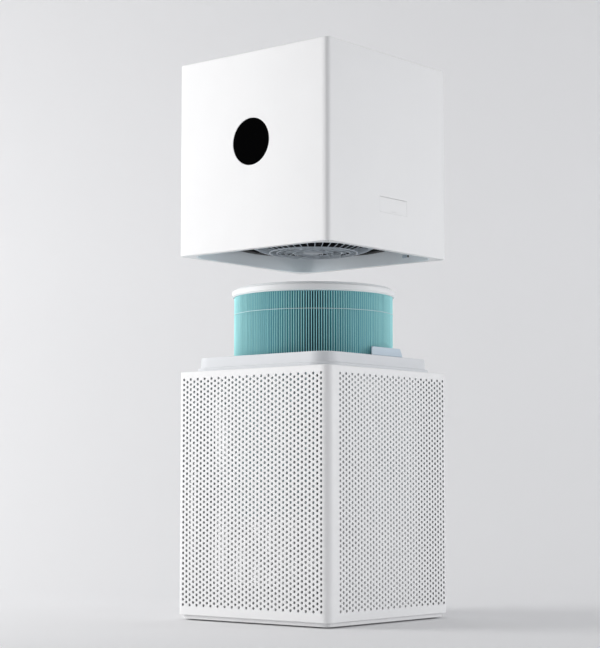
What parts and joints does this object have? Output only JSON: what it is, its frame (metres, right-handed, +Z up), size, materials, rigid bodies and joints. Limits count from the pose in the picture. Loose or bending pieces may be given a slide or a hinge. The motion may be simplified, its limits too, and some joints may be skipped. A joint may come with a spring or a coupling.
{
  "type": "air purifier",
  "caption": "Square tower air purifier opened for a filter change: perforated base, raised round pleated filter and lift-off fan head with a round black display.",
  "frame": {"origin": "centre of the footprint at the underside of the rubber feet", "axes": "+X to the purifier's right side, -Y out of its front face with the display, +Z up"},
  "size_m": [0.24, 0.24, 0.6925],
  "materials": {
    "base_shell": "fine satin white",
    "plinth": "fine satin white",
    "foot_front_left": "dark rubber",
    "foot_front_right": "dark rubber",
    "foot_rear_left": "dark rubber",
    "foot_rear_right": "dark rubber",
    "filter_seat": "satin light grey",
    "post_front_left": "satin light grey",
    "post_front_right": "satin light grey",
    "post_rear_left": "satin light grey",
    "post_rear_right": "satin light grey",
    "filter_collar": "satin light grey",
    "interlock_tab": "satin blue-grey",
    "filter_media": "matt folded paper, cyan",
    "filter_core": "satin light grey",
    "filter_top_ring": "fine satin white",
    "filter_bottom_cap": "fine satin white",
    "filter_gasket": "soft foam",
    "pleat_thread": "fine satin white",
    "head_shell": "fine satin white",
    "display_lens": "polished black",
    "display_board": "circuit board",
    "display_holder": "black",
    "socket_skirt": "satin blue-grey",
    "socket_wall": "satin blue-grey",
    "inlet_ceiling": "dark satin",
    "gasket_land": "dark satin",
    "inlet_guard": "satin grey",
    "outlet_grille": "satin light grey",
    "fan_duct": "satin light grey",
    "motor_housing": "dark can",
    "bearing_lower": "ground steel",
    "bearing_upper": "ground steel",
    "motor_bracket": "satin light grey",
    "control_board": "circuit board",
    "power_board": "circuit board",
    "mains_choke": "wound copper",
    "dust_sensor": "folded sheet steel",
    "button_board": "circuit board",
    "power_inlet": "black",
    "inlet_pin_left": "plated pin",
    "inlet_pin_right": "plated pin",
    "impeller": "fine satin white",
    "fan_shaft": "ground steel",
    "fan_nut": "plated steel",
    "sensor_door": "fine satin white",
    "rear_button": "satin light grey"
  },
  "bodies": {
    "base": {"base_shell": "base_shell", "plinth": "plinth", "foot_front_left": "foot_front_left", "foot_front_right": "foot_front_right", "foot_rear_left": "foot_rear_left", "foot_rear_right": "foot_rear_right", "filter_seat": "filter_seat", "post_front_left": "post_front_left", "post_front_right": "post_front_right", "post_rear_left": "post_rear_left", "post_rear_right": "post_rear_right", "filter_collar": "filter_collar", "interlock_tab": "interlock_tab"},
    "filter": {"filter_media": "filter_media", "filter_core": "filter_core", "filter_top_ring": "filter_top_ring", "filter_bottom_cap": "filter_bottom_cap", "filter_gasket": "filter_gasket", "pleat_thread": "pleat_thread"},
    "head": {"head_shell": "head_shell", "display_lens": "display_lens", "display_board": "display_board", "display_holder": "display_holder", "socket_skirt": "socket_skirt", "socket_wall": "socket_wall", "inlet_ceiling": "inlet_ceiling", "gasket_land": "gasket_land", "inlet_guard": "inlet_guard", "outlet_grille": "outlet_grille", "fan_duct": "fan_duct", "motor_housing": "motor_housing", "bearing_lower": "bearing_lower", "bearing_upper": "bearing_upper", "motor_bracket": "motor_bracket", "control_board": "control_board", "power_board": "power_board", "mains_choke": "mains_choke", "dust_sensor": "dust_sensor", "button_board": "button_board", "power_inlet": "power_inlet", "inlet_pin_left": "inlet_pin_left", "inlet_pin_right": "inlet_pin_right"},
    "fan": {"impeller": "impeller", "fan_shaft": "fan_shaft", "fan_nut": "fan_nut"},
    "sensor_door": {"sensor_door": "sensor_door"},
    "rear_button": {"rear_button": "rear_button"}
  },
  "joints": [
    {"name": "head_lift", "type": "slide", "parent": "base", "child": "head", "axis": [0, 0, 1], "range_m": [-0.1445, 0]},
    {"name": "filter_lift", "type": "slide", "parent": "base", "child": "filter", "axis": [0, 0, 1], "range_m": [-0.091, 0]},
    {"name": "fan_spin", "type": "hinge", "parent": "head", "child": "fan", "pos_m": [0, 0, 0.57], "axis": [0, 0, 1], "continuous": true},
    {"name": "sensor_door_hinge", "type": "hinge", "parent": "head", "child": "sensor_door", "pos_m": [0.119, 0.008, 0.5125], "axis": [0, -1, 0], "range_deg": [0, 85]},
    {"name": "rear_button_press", "type": "slide", "parent": "head", "child": "rear_button", "axis": [0, -1, 0], "range_m": [0, 0.0012], "stiffness_N_per_m": 500}
  ],
  "couplings": [
    {"joint": "filter_lift", "follows": "head_lift", "ratio": 0.6297}
  ]
}
